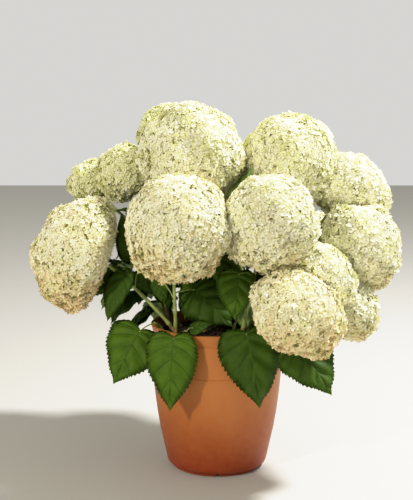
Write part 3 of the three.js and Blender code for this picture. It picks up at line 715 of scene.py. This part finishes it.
def layer(bloom, dice, holes, pattern, spacing, radius, depth, holeShare, lime):
    points, faces, slots = pattern
    half, axis = bloom["half"], bloom["axis"]
    meanHeight = (bloom["top"] + bloom["under"]) / 2
    count = int(4 * math.pi * half * half * meanHeight ** 0.7 / spacing**2)
    ways = evenWays(count) @ frameOf(axis)
    ways = unitRows(ways + dice.normal(0, floret["wander"] * spacing / half, ways.shape))
    reach = pressedReach(bloom, ways)
    pressed = openReach(bloom, ways) - reach
    lowest = floret["hiddenBelow"] + 0.1 * dice.random(count)
    shown = (ways @ axis > lowest) & (pressed < floret["pressedDepth"])
    shown &= ~inHoles(ways, holes, half, holeShare)
    ways, reach = ways[shown], reach[shown]
    count = len(ways)
    loose = np.clip(0.2 - 1.6 * ways[:, 2], 0, 1)
    spans = (floret["jitter"], floret["tilt"], floret["proud"])
    jitter, tilt, proud = (least + (most - least) * loose for least, most in spans)
    bosses = bossDepth(ways, half, np.random.default_rng(bloom["seed"] + 300))
    bosses = bosses * (1 + floret["looseBoss"] * loose)
    sunk = floret["topRoom"] + depth + bosses + jitter * dice.normal(0, 1, count)
    sunk = np.maximum(sunk, -proud)
    middles = bloom["middle"] + ways * (reach - sunk)[:, None]
    facing = unitRows(ways + tilt[:, None] * dice.normal(0, 1, ways.shape))
    side = unitRows(np.cross(facing, dice.normal(0, 1, ways.shape)))
    other = np.cross(facing, side)
    size = radius * (floret["leastSize"] + floret["sizeSpread"] * dice.random(count))
    opening = floret["opening"] + dice.random(count)
    local = points[None] * np.stack([size, size, size * opening], axis=1)[:, None, :]
    placed = (middles[:, None] + local[..., :1] * side[:, None] + local[..., 1:2] * other[:, None]
              + local[..., 2:] * facing[:, None])
    placedFaces = faces[None] + (np.arange(count) * len(points))[:, None, None]
    # Tint: new heads are lime, ageing ones cream, and the lower edge is the oldest part.
    wave = np.sin(ways @ np.array([5.0, 3.0, 4.0]) + bloom["seed"]) * 0.05
    low = np.clip(-(ways[:, 2] - 0.1), 0, 1)
    tint = len(sepals) * (0.14 + 0.56 * bloom["age"] + (0.06 + 0.44 * bloom["age"]) * low + wave)
    tint = np.clip(tint + dice.normal(0, 0.3, count), 0, len(sepals) - 1).astype(int)
    tint = np.where(dice.random(count) < lime, 0, tint)
    colours = np.where(slots[None], len(sepals), tint[:, None])
    return placed.reshape(-1, 3), placedFaces.reshape(-1, 3), colours.ravel()


# Each row of a sepal: how far out it lies, how far its ends fall back, half its width, its height and cup
fullFloret = sepalRing([(0.58, 0.02, 0.46, 0.1, 0.14), (1.02, 0.02, 0.24, floret["cup"], 0.03)], True)
plainFloret = sepalRing([(0.75, 0.1, 0.52, 0.12, 0.1)], False)
# The florets that show, and plainer ones that fill the gaps between them. The share lime of them is lime.
floretLayers = [
    dict(pattern=fullFloret, spacing=8.2, radius=6.4, depth=0, holeShare=1, lime=0),
    dict(pattern=plainFloret, spacing=9.2, radius=7.6, depth=2.3, holeShare=0.9, lime=0.3),
]
stalkCurves = {shoot["name"]: shoot["curve"] for shoot in shoots}
stalkCurves |= {shoot["fork"]["bloom"]: shoot["branch"] for shoot in shoots if "fork" in shoot}


def makeFlorets(name, bloom):
    dice = np.random.default_rng(bloom["seed"])
    middles = unitRows(dice.normal(0, 1, (floret["holeGroups"], 3)) - up * 1.1)
    middles = np.repeat(middles, floret["holesInGroup"], axis=0)
    middles = unitRows(middles + dice.normal(0, floret["groupMm"] / bloom["half"], middles.shape))
    least, most = floret["holeSizes"]
    holes = (middles, least + (most - least) * dice.random(len(middles)) ** 2)
    pile = Pile()
    for look in floretLayers:
        pile.add(*layer(bloom, dice, holes, **look))
    piece = pile.piece("florets_" + name, sepals + [budGreen])
    placePiece(piece, "blooms", "bloom_" + name)
    return len(piece.data.polygons)


print("floret faces:", sum(makeFlorets(name, bloom) for name, bloom in blooms.items()))


# The heart of pedicels inside each head. below is its depth under the florets, in millimetres, and
# underShare the share of the way out that it keeps under the dome, where the branches show.
heart = {"below": 11, "underShare": 0.4, "rings": 20, "sides": 30, "rough": 0.05}


def makeHeart(pile, bloom):
    dice = np.random.default_rng(bloom["seed"] + 500)
    rings, sides = heart["rings"], heart["sides"]
    polar = np.linspace(0, math.pi, rings + 1)[1:-1]
    turn = np.arange(sides) * 2 * math.pi / sides
    ways = np.stack([
        np.sin(polar)[:, None] * np.cos(turn), np.sin(polar)[:, None] * np.sin(turn),
        np.cos(polar)[:, None] * np.ones(sides)], axis=2).reshape(-1, 3)
    ways = np.concatenate([ways, [[0, 0, 1], [0, 0, -1]]])
    under, over = heart["underShare"], 1 - heart["below"] / bloom["half"]
    share = np.interp(ways[:, 2], [-1, -0.75, -0.3, 1], [under, under + 0.1, over, over])
    share += heart["rough"] * (dice.random(len(ways)) - 0.5)
    turned = ways @ frameOf(bloom["axis"])
    points = bloom["middle"] + turned * (pressedReach(bloom, turned) * share)[:, None]
    pile.add(points, ringFaces(rings - 1, sides)[:, ::-1], 0)


hearts = Pile()
for bloom in bloomList:
    makeHeart(hearts, bloom)
placePiece(hearts.piece("head_hearts", [headHeart]), "blooms")


# Tubes: canes, side stems, stalks, petioles and the branches under each head
def tube(pile, curve, radiusAt, steps, sides, slotAt=None):
    shares = np.linspace(0, 1, steps + 1)
    side = np.array([1, 0, 0.01])
    turn = np.arange(sides) * 2 * math.pi / sides
    rings = []
    for share in shares:
        ahead = curve.ahead(share)
        side = unit(side - ahead * (side @ ahead))
        around = np.cos(turn)[:, None] * side + np.sin(turn)[:, None] * np.cross(ahead, side)
        rings.append(curve.at(share) + radiusAt(share) * around)
    points = np.concatenate(rings + [[curve.at(0)], [curve.at(1)]])
    kinds = np.array([slotAt(share) if slotAt else 0 for share in shares[:-1]])
    slots = np.concatenate([np.repeat(kinds, 2 * sides), np.repeat(kinds[[0, -1]], sides)])
    pile.add(points, ringFaces(steps + 1, sides), slots)


def flared(radius, shortness):
    # A stem's radius, a quarter larger where it leaves another
    return lambda share: radius * (1 + 0.25 * math.exp(-share * shortness))


def insideHead(bloom, way, share):
    return bloom["middle"] + way * float(pressedReach(bloom, way[None])[0]) * share


stems = Pile()
stemLook = {"sides": 14, "nodeSwelling": 0.28, "nodeLength": 5.0, "woodyShare": 0.16, "flareLength": 6,
            "petioleRadius": 1.5, "petioleFlare": 0.9}


def leafNodes(plant):
    shares = [shareAlong(plant, i + 0.5, plant["pairs"]) for i in range(plant["pairs"])]
    return [plant["leafFrom"] * 0.45, plant["leafFrom"] * 0.85] + shares


for shoot in shoots:
    curve = shoot["curve"]
    joints = leafNodes(shoot) + ([shoot["fork"]["at"]] if "fork" in shoot else [])

    def caneRadiusAt(share):
        radius = rule["caneRadius"] + (rule["caneTipRadius"] - rule["caneRadius"]) * share
        radius *= 1 + (rule["caneFlare"] - 1) * math.exp(-share * curve.length / stemLook["flareLength"])
        away = min(abs(share - joint) * curve.length for joint in joints)
        return radius * (1 + stemLook["nodeSwelling"] * math.exp(-(away / stemLook["nodeLength"]) ** 2))

    tube(stems, curve, caneRadiusAt, 72, stemLook["sides"], lambda s: int(s < stemLook["woodyShare"]))
    if "fork" in shoot:
        tube(stems, shoot["branch"], flared(rule["caneTipRadius"], 30), 36, stemLook["sides"])
for skirt in skirts:
    tube(stems, skirt["curve"], flared(rule["skirtRadius"], 12), 14, 12)


def petioleRadiusAt(share):
    return stemLook["petioleRadius"] + stemLook["petioleFlare"] * math.exp(-share * 9)


for leaf in leaves:
    inward = leaf["frame"][0] * rule["petioleSeat"]
    middle = leaf["root"] + (leaf["base"] - leaf["root"]) * 0.55
    middle[2] = max(leaf["root"][2], leaf["base"][2]) + leaf["arch"]
    tube(stems, Curve(leaf["root"], middle, leaf["base"] + inward), petioleRadiusAt, 8, 7)

# The branches in a head fan out from the end of its stalk, rising a little, and fork on the way to the
# florets. reach and forkReach are the shares of the way to its outline where they end.
corymb = {"branches": 46, "lowest": -0.85, "reach": 0.86, "bend": 0.45, "rise": 0.12, "forks": 2,
          "forkAt": 0.6, "forkSpread": 0.2, "forkReach": 0.92, "forkBow": 4}
branches = Pile()
for name, bloom in blooms.items():
    dice = np.random.default_rng(bloom["seed"] + 900)
    hub = stalkCurves[name].at(1)
    ways = evenWays(corymb["branches"]) @ frameOf(bloom["axis"])
    for way in ways[ways @ bloom["axis"] > corymb["lowest"]]:
        goal = insideHead(bloom, way, corymb["reach"])
        bend = hub + (goal - hub) * corymb["bend"] + bloom["axis"] * bloom["half"] * corymb["rise"]
        branch = Curve(hub, bend, goal)
        tube(branches, branch, lambda s: 1.7 - 0.8 * s, 4, 4)
        start = branch.at(corymb["forkAt"])
        for _ in range(corymb["forks"]):
            lean = unit(way + dice.normal(0, corymb["forkSpread"], 3))
            end = insideHead(bloom, lean, corymb["forkReach"])
            bend = (start + end) / 2 + way * corymb["forkBow"]
            tube(branches, Curve(start, bend, end), lambda s: 1.0 - 0.4 * s, 2, 3)
placePiece(stems.piece("canes_and_stems", [youngCane, woodyCane]), "canes",
           *["cane_" + shoot["name"] for shoot in shoots])
placePiece(branches.piece("head_branches", [pedicelGreen]), "blooms")
print("stems and branches made")


# Leaf blades. The rows of faces between two side veins start with the vein itself, and the rows after it
# bulge. columns are shares of the half width from the rib to the margin, and endRoom the part of a vein's
# length that is left before the first vein.
blade = {"veins": 7, "veinRows": (-0.04, 0.04, 0.3, 0.55, 0.8), "endRoom": 0.2, "quilt": 0.044,
         "bulge": (-0.6, -0.6, 0.6, 1, 0.5), "columns": (0, 0.03, 0.36, 0.7, 1), "bow": -0.03,
         "veinSink": 0.007, "tooth": 0.06, "toothForward": 0.024, "ripple": 0.034, "uneven": 0.07,
         "thickness": 0.5}
# The outline from the notch at the petiole round a lobe to the drawn-out tip, as shares of the length
# and of the half width, and for each of its points where the vein to it leaves the rib.
outline = {
    "along": (-0.01, -0.075, -0.07, 0.03, 0.17, 0.32, 0.48, 0.63, 0.77, 0.88, 0.95, 1.0),
    "out": (0.02, 0.28, 0.62, 0.91, 1.0, 0.97, 0.85, 0.65, 0.41, 0.18, 0.07, 0.0),
    "rib": (0.0, 0.0, 0.0, 0.01, 0.04, 0.11, 0.22, 0.37, 0.55, 0.75, 0.89, 1.0),
}


def smoothThrough(values, spots):
    # A smooth line through evenly spaced values, which at each one runs as its two neighbours lie.
    values = np.asarray(values, float)
    padded = np.concatenate([[2 * values[0] - values[1]], values, [2 * values[-1] - values[-2]]])
    at = np.clip(spots * (len(values) - 1), 0, len(values) - 1 - 1e-9)
    i = at.astype(int)
    t = at - i
    a, b, c, d = padded[i], padded[i + 1], padded[i + 2], padded[i + 3]
    return 0.5 * (2 * b + (c - a) * t + (2 * a - 5 * b + 4 * c - d) * t**2 + (3 * b - a - 3 * c + d) * t**3)


perVein = len(blade["veinRows"])
bladeRows = blade["veins"] * perVein
rowNumber = np.arange(bladeRows + 1)
rowPart = rowNumber % perVein
rowShare = rowNumber // perVein + np.array(blade["veinRows"])[rowPart] + blade["endRoom"]
rowShare = rowShare / (blade["veins"] + blade["endRoom"])
rowShare[0], rowShare[-1] = 0, 1
columns = np.array(blade["columns"], float)
outlineRows = [smoothThrough(outline[key], rowShare) for key in ("along", "out", "rib")]
toothShare = (rowShare[1:] + rowShare[:-1]) / 2
outlineTeeth = [smoothThrough(outline[key], toothShare) for key in ("along", "out")]


def bladeFaces():
    # Triangles of one half of one sheet: two to a cell, and three to a cell with a tooth at its margin.
    count = len(columns)
    grid = np.arange((bladeRows + 1) * count).reshape(bladeRows + 1, count)
    a, b, c, d = grid[:-1, :-1], grid[:-1, 1:], grid[1:, 1:], grid[1:, :-1]
    tooth = grid.size + np.arange(bladeRows)
    vein = np.broadcast_to((rowPart[:-1, None] == 0) | (np.arange(count - 1)[None] == 0), a.shape)
    inner = np.stack([a, b, c, a, c, d], -1)[:, :-1].reshape(-1, 3)
    innerVein = np.repeat(vein[:, :-1].ravel(), 2)
    a, b, c, d = a[:, -1], b[:, -1], c[:, -1], d[:, -1]
    edge = np.stack([a, b, tooth, a, tooth, d, tooth, c, d], -1).reshape(-1, 3)
    edgeVein = np.repeat(vein[:, -1], 3)
    return np.concatenate([inner, edge]), np.concatenate([innerVein, edgeVein])


halfSheet, halfSheetVein = bladeFaces()


def makeBlade(pile, leaf, green, dice):
    along, out, rib = (row[:, None] for row in outlineRows)
    u = columns[None]
    fade = np.clip(out / 0.2, 0, 1)
    phase = dice.random() * 2 * math.pi
    count = len(columns)
    for hand in (1, -1):
        breadth = 1 + blade["uneven"] * np.sin(rowShare[:, None] * 5 + phase * 2 + hand)
        share = rib + (along - rib) * u + blade["bow"] * np.sin(math.pi * u) * out
        points = bladeSpot(leaf, share, hand * out * u * breadth)
        bulge = np.array(blade["bulge"])[rowPart][:, None]
        lift = blade["quilt"] * bulge * np.sin(math.pi * u**0.8) - blade["veinSink"] * (u < 0.1)
        wave = np.sin(9 * rowShare[:, None] * math.pi + phase * (1 + hand))
        lift = (lift + blade["ripple"] * u**2 * wave) * fade * leaf["width"]
        points = points + leaf["frame"][2] * lift[..., None]
        toothAlong, toothOut = outlineTeeth
        grown = np.clip(toothOut / 0.2, 0, 1)
        toothBreadth = (1 + blade["tooth"] * grown) * (breadth[1:, 0] + breadth[:-1, 0]) / 2
        tips = bladeSpot(leaf, toothAlong + blade["toothForward"] * grown, hand * toothOut * toothBreadth)
        tips = tips + leaf["frame"][2] * ((lift[1:, -1] + lift[:-1, -1]) / 2)[:, None]
        thick = blade["thickness"] * (1 - columns[None, :, None] ** 4) * fade[..., None]
        lower = points - leaf["frame"][2] * thick
        below = points[..., 0].size + bladeRows
        j = np.arange(count - 1)
        shut = np.stack([j, j + 1, j + 1 + below, j, j + 1 + below, j + below], -1).reshape(-1, 3)
        corners = np.concatenate([points.reshape(-1, 3), tips, lower.reshape(-1, 3), tips])
        faces = np.concatenate([halfSheet[:, ::-1], halfSheet + below, shut])
        slots = np.concatenate([np.where(halfSheetVein, 3, green), np.full(len(halfSheet) + len(shut), 4)])
        pile.add(corners, faces if hand == 1 else faces[:, ::-1], slots)


def makeBlades(name, some, replaced):
    pile = Pile()
    dice = np.random.default_rng(77 + len(some))
    for leaf in some:
        draw = dice.random()
        drawnGreen = 1 if draw < 0.4 else 2 if draw > 0.9 else 0
        makeBlade(pile, leaf, leaf.get("green", drawnGreen), dice)
    piece = pile.piece(name, leafGreens + [leafVeinShade, leafUnderside])
    selectOnly(piece)
    bpy.ops.object.mode_set(mode="EDIT")
    bpy.ops.mesh.select_all(action="SELECT")
    bpy.ops.mesh.remove_doubles(threshold=0.00001)
    bpy.ops.object.mode_set(mode="OBJECT")
    placePiece(piece, "leaves", *replaced)


leafNodeNames = [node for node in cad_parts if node.startswith("leaves_")]
makeBlades("leaf_blades_rim", [leaf for leaf in leaves if leaf["rim"]],
           [node for node in leafNodeNames if node.startswith("leaves_low_")])
makeBlades("leaf_blades", [leaf for leaf in leaves if not leaf["rim"]],
           [node for node in leafNodeNames if not node.startswith("leaves_low_")])
print("leaf blades made:", len(leaves))


# The pot: a profile spun round, with drain holes and channels cut from below
def potProfile():
    names = ("foot", "groove", "shoulder", "rim", "height", "wall", "floor")
    foot, groove, shoulder, rim, top, wall, floor = (pot[name] for name in names)
    inner = rim - pot["rimWall"]
    return [
        (0, 0), (foot - 3, 0), (foot, 1.2), (foot, 7), (112.5, 8.5), (116, 10.5), (118, 14), (120, 22),
        (124.4, 42), (128.6, 62), (135.6, 94), (142.4, 135), (148, 180), (151, 212), (153, 237),
        (153.4, groove - 1.2), (152.4, groove), (153.6, groove + 1.2), (154.1, 280), (154.9, shoulder - 7),
        (154.8, shoulder - 3.6), (153.7, shoulder - 1.4), (151, shoulder + 1.2), (150.8, shoulder + 3),
        (153.4, 332), (rim - 0.3, top - 4), (rim, top - 2), (rim - 1.2, top - 0.5), (rim - 2.6, top),
        (inner + 1, top), (inner, top - 1), (150.2 - wall, shoulder), (148 - wall, 180),
        (135.6 - wall, 94), (120 - wall, 24), (108, floor), (0, floor)]


def makePot():
    profile = potProfile()
    mesh = bpy.data.meshes.new("pot_shell")
    mesh.from_pydata([(r / metre, 0, z / metre) for r, z in profile],
                     [(i, i + 1) for i in range(len(profile) - 1)], [])
    piece = bpy.data.objects.new("pot_shell", mesh)
    bpy.context.scene.collection.objects.link(piece)
    selectOnly(piece)
    bpy.ops.object.mode_set(mode="EDIT")
    bpy.ops.mesh.select_all(action="SELECT")
    bpy.ops.mesh.spin(steps=pot["turns"], angle=2 * math.pi, center=(0, 0, 0), axis=(0, 0, 1))
    bpy.ops.mesh.select_all(action="SELECT")
    bpy.ops.mesh.remove_doubles(threshold=0.00002)
    bpy.ops.mesh.normals_make_consistent(inside=False)
    bpy.ops.object.mode_set(mode="OBJECT")
    ring = pot["drainRing"] / metre
    middle = ring + pot["foot"] / metre / 2
    width, depth = (v / metre for v in pot["channel"])
    for i in range(pot["drains"]):
        turn = -math.pi / 2 + i * 2 * math.pi / pot["drains"]
        bpy.ops.mesh.primitive_cylinder_add(
            vertices=32, radius=pot["drainRadius"] / metre, depth=0.04,
            location=(ring * math.cos(turn), ring * math.sin(turn), 0))
        hole = bpy.context.active_object
        bpy.ops.mesh.primitive_cube_add(
            size=1, location=(middle * math.cos(turn), middle * math.sin(turn), 0))
        channel = bpy.context.active_object
        channel.scale = (pot["foot"] / metre, width, 2 * depth)
        channel.rotation_euler = (0, 0, turn)
        for cutter in (hole, channel):
            selectOnly(piece)
            cut = piece.modifiers.new("drain", "BOOLEAN")
            cut.operation = "DIFFERENCE"
            cut.solver = "EXACT"
            cut.object = cutter
            bpy.ops.object.modifier_apply(modifier=cut.name)
            bpy.data.objects.remove(cutter)
    selectOnly(piece)
    bpy.ops.object.shade_smooth_by_angle(angle=math.radians(32))
    return piece


def injectionMouldedPolypropylene():
    # Polypropylene dyed terracotta: a soft waxy sheen and faint flow marks, with painted shade darkening it
    # to red-brown towards the foot, mottled by splash-like noise.
    made, tree, shader, where = startMaterial("terracottaPolypropylene", {
        "Roughness": 0.42, "IOR": 1.49, "Specular IOR Level": 0.24})
    cloud = addNode(tree, "ShaderNodeTexNoise", {"Scale": perMm(90), "Detail": 4}, {"Vector": where})
    body = addNode(tree, "ShaderNodeValToRGB", {}, {"Fac": cloud.outputs["Fac"]})
    body.color_ramp.elements[0].position = 0.3
    body.color_ramp.elements[1].position = 0.72
    body.color_ramp.elements[0].color = linear("#b46e38")
    body.color_ramp.elements[1].color = linear("#be7b41")
    # Painted shade: the colour darkens to #923717 from 0.225 m down to the foot, mottled by noise.
    apart = addNode(tree, "ShaderNodeSeparateXYZ", {}, {"Vector": where})
    height = addNode(tree, "ShaderNodeMapRange", {
        "From Min": 0.0, "From Max": 0.225, "To Min": 2.0, "To Max": 0.0}, {"Value": apart.outputs["Z"]})
    splashAndShadeNoise = addNode(tree, "ShaderNodeTexNoise", {"Scale": perMm(16), "Detail": 3}, {"Vector": where})
    shadeMottle = addNode(tree, "ShaderNodeMapRange", {"To Min": 0.38, "To Max": 0.62},
                    {"Value": splashAndShadeNoise.outputs["Fac"]})
    paintedFootShade = addNode(tree, "ShaderNodeMath", {"operation": "MULTIPLY"})
    tree.links.new(height.outputs["Result"], paintedFootShade.inputs[0])
    tree.links.new(shadeMottle.outputs["Result"], paintedFootShade.inputs[1])
    mix = addNode(tree, "ShaderNodeMix", {"data_type": "RGBA"})
    tree.links.new(paintedFootShade.outputs["Value"], mix.inputs["Factor"])
    tree.links.new(body.outputs["Color"], mix.inputs[6])
    mix.inputs[7].default_value = linear("#923717")
    tree.links.new(mix.outputs[2], shader.inputs["Base Color"])
    rough = addNode(tree, "ShaderNodeMapRange", {"To Min": 0.36, "To Max": 0.5},
                    {"Value": splashAndShadeNoise.outputs["Fac"]})
    tree.links.new(rough.outputs["Result"], shader.inputs["Roughness"])
    grain = addNode(tree, "ShaderNodeTexNoise", {"Scale": perMm(1.4), "Detail": 2}, {"Vector": where})
    bump = addNode(tree, "ShaderNodeBump", {"Strength": 0.25, "Distance": 0.0002},
                   {"Height": grain.outputs["Fac"]})
    tree.links.new(bump.outputs["Normal"], shader.inputs["Normal"])
    return made


potPiece = makePot()
potPiece.data.materials.append(injectionMouldedPolypropylene())
placePiece(potPiece, "pot", "pot")
print("pot made")


# Potting compost: a plug with a crumbly top, and loose crumbs and chips of bark on it
compost = {"rings": 40, "sides": 120, "lump": 4.0, "crumbs": 1500, "crumbSize": (1.6, 5.5), "brim": 144}
compostBrown = mottled("compostBrown", "#3b2a1d", "#17100b", 6, 2.2, 1.2, {"Roughness": 0.95})
barkBrown = mottled("barkBrown", "#5d4329", "#3a2918", 8, 1.5, 0.6, {"Roughness": 0.85})


def crumblyTop(x, y):
    lumps = (np.sin(x / 9 + 1.3 * np.sin(y / 13)) + np.cos(y / 7 + 1.1 * np.sin(x / 11))
             + 0.6 * np.sin((x + y) / 4.1)) / 2.6
    return rule["soilTop"] - compost["lump"] * (0.55 - 0.5 * lumps)


def makeCompost():
    pile = Pile()
    dice = np.random.default_rng(5)
    turn = np.arange(compost["sides"]) * 2 * math.pi / compost["sides"]
    rows = []
    for r, z in [(107.5, 7.5), (115, 24), (130.6, 94), (143, 180), (compost["brim"] + 1, 312)]:
        rows.append(np.stack([r * np.cos(turn), r * np.sin(turn), np.full(len(turn), float(z))], axis=1))
    for r in np.linspace(compost["brim"], 0, compost["rings"] + 1)[:-1]:
        x, y = r * np.cos(turn), r * np.sin(turn)
        rows.append(np.stack([x, y, crumblyTop(x, y) + dice.normal(0, 0.5, len(turn))], axis=1))
    points = np.concatenate(rows + [[[0, 0, 7.5]], [[0, 0, rule["soilTop"] - 2]]])
    pile.add(points, ringFaces(len(rows), compost["sides"]), 0)
    crumb = np.array([(1, 0, 0), (-1, 0, 0), (0, 1, 0), (0, -1, 0), (0, 0, 1), (0, 0, -1)], float)
    crumbFaces = np.array([(0, 2, 4), (2, 1, 4), (1, 3, 4), (3, 0, 4),
                           (2, 0, 5), (1, 2, 5), (3, 1, 5), (0, 3, 5)])
    least, most = compost["crumbSize"]
    for _ in range(compost["crumbs"]):
        r = compost["brim"] * 0.97 * math.sqrt(dice.random())
        t = dice.random() * 2 * math.pi
        size = least + (most - least) * dice.random() ** 3
        stretch = size * np.array([1, 0.55 + 0.45 * dice.random(), 0.35 + 0.3 * dice.random()])
        x, y = r * math.cos(t), r * math.sin(t)
        turned = Matrix.Rotation(dice.random() * 6.28, 3, "Z")
        spin = np.array(turned @ Matrix.Rotation(dice.normal(0, 0.5), 3, "X"))
        jitter = 1 + dice.normal(0, 0.12, (6, 1))
        placed = (crumb * jitter * stretch) @ spin.T + (x, y, crumblyTop(x, y))
        pile.add(placed, crumbFaces, int(dice.random() < 0.3))
    piece = pile.piece("compost", [compostBrown, barkBrown])
    piece.data.polygons.foreach_set("use_smooth", np.zeros(len(piece.data.polygons), bool))
    return piece


placePiece(makeCompost(), "soil", "soil")
print("compost made")


# Studio: a pale floor, light from the front left and from above on the right, and the camera
def softLight(name, place, aim, size, watts, colour):
    data = bpy.data.lights.new(name, "AREA")
    data.shape = "DISK"
    data.size = size
    data.energy = watts
    data.color = linear(colour)[:3]
    lamp = bpy.data.objects.new(name, data)
    lamp.location = place
    lamp.rotation_euler = (Vector(aim) - Vector(place)).to_track_quat("-Z", "Y").to_euler()
    bpy.context.scene.collection.objects.link(lamp)


bpy.ops.object.select_all(action="DESELECT")
bpy.ops.mesh.primitive_plane_add(size=12, location=(0, 0, -0.0005))
floor = bpy.context.active_object
floor.name = "studio_floor"
floorPaint = bpy.data.materials.new("studioFloor")
floorPaint.use_nodes = True
floorPaint.node_tree.nodes["Principled BSDF"].inputs["Base Color"].default_value = linear("#bfbdb9")
floorPaint.node_tree.nodes["Principled BSDF"].inputs["Roughness"].default_value = 0.8
floor.data.materials.append(floorPaint)
floor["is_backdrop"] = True

world = bpy.data.worlds.new("studioAir")
bpy.context.scene.world = world
world.use_nodes = True
sky = world.node_tree.nodes["Background"]
sky.inputs["Color"].default_value = linear("#f4f2e8")
sky.inputs["Strength"].default_value = 0.56
seen = addNode(world.node_tree, "ShaderNodeBackground", {"Color": linear("#d9d8d5"), "Strength": 1.0})
ray = addNode(world.node_tree, "ShaderNodeLightPath")
air = addNode(world.node_tree, "ShaderNodeMixShader", {}, {"Fac": ray.outputs["Is Camera Ray"]})
world.node_tree.links.new(sky.outputs["Background"], air.inputs[1])
world.node_tree.links.new(seen.outputs["Background"], air.inputs[2])
world.node_tree.links.new(air.outputs["Shader"], world.node_tree.nodes["World Output"].inputs["Surface"])
softLight("keyLight", (-1.65, -2.15, 1.6), (0, 0, 0.45), 0.22, 43, "#fff5e2")
softLight("sunLight", (1.85, 0.3, 2.85), (0, 0, 0.5), 0.4, 224, "#fffdf8")

# A camera's soft shoulder: how bright the picture shows scene light, where 1 is white
shoulder = {0.25: 0.25, 0.5: 0.5, 0.75: 0.715, 1.0: 0.87, 1.5: 0.965}
shoulderEnd = 3.0
viewing = bpy.context.scene.view_settings
viewing.view_transform = "Standard"
viewing.use_curve_mapping = True
viewing.curve_mapping.white_level = [shoulderEnd] * 3
for light, shown in shoulder.items():
    viewing.curve_mapping.curves[3].points.new(light / shoulderEnd, shown)
viewing.curve_mapping.update()

lens = bpy.data.cameras.new("photoCamera")
lens.sensor_width = 36
lens.lens = camera["focalPixels"] / camera["frameHeight"] * lens.sensor_width
eye = bpy.data.objects.new("photoCamera", lens)
eye.location = camera["place"]
eye.rotation_euler = (math.radians(90 - camera["pitchDown"]), 0, 0)
bpy.context.scene.collection.objects.link(eye)
bpy.context.scene.camera = eye

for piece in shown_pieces():
    piece.data.calc_loop_triangles()
    print(piece.name, len(piece.data.loop_triangles))
